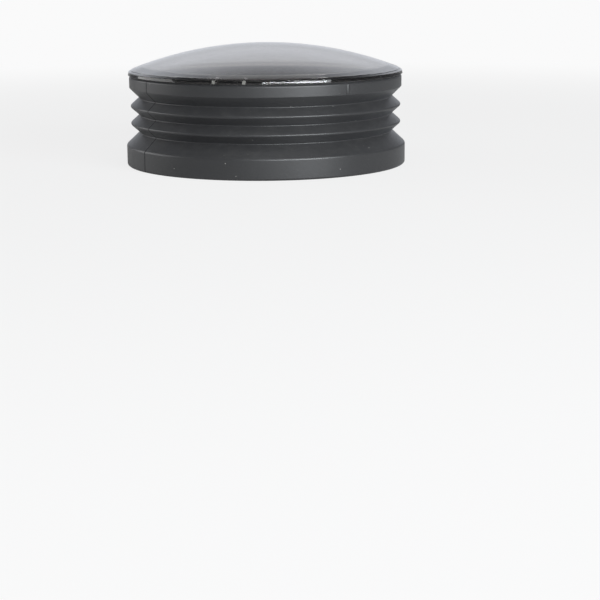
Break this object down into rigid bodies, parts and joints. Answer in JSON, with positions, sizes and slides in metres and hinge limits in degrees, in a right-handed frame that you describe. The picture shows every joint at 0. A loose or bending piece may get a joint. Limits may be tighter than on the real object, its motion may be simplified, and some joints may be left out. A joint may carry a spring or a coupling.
{
  "type": "coffee grinder bellows",
  "caption": "Round pleated silicone bellows with a skirt that grips a bean hopper's rim and a collar that holds a domed smoke-tinted lid on a seal ring.",
  "frame": {"origin": "on the axis of the bellows, level with the foot of its skirt", "axes": "+Z along the axis, from the skirt towards the lid; -Y is the front; the index rib is 34.6 degrees from the front towards +X"},
  "size_m": [0.1344, 0.1344, 0.0572],
  "materials": {
    "silicone": "matt moulded black silicone with a soft sheen",
    "seal": "matt black seal",
    "smoke_plastic": "glossy see-through plastic, smoke-tinted"
  },
  "bodies": {
    "bellows": {"bellows": "silicone"},
    "seal_ring": {"seal_ring": "seal"},
    "lid": {"lid": "smoke_plastic"}
  },
  "joints": [
    {"name": "press", "type": "slide", "parent": "bellows", "child": "seal_ring", "axis": [0, 0, 1], "range_m": [-0.012, 0], "stiffness_N_per_m": 800, "springref_m": 0.001, "deforming": ["bellows"]},
    {"name": "lid_lift", "type": "slide", "parent": "seal_ring", "child": "lid", "axis": [0, 0, 1], "range_m": [0, 0.04]}
  ]
}
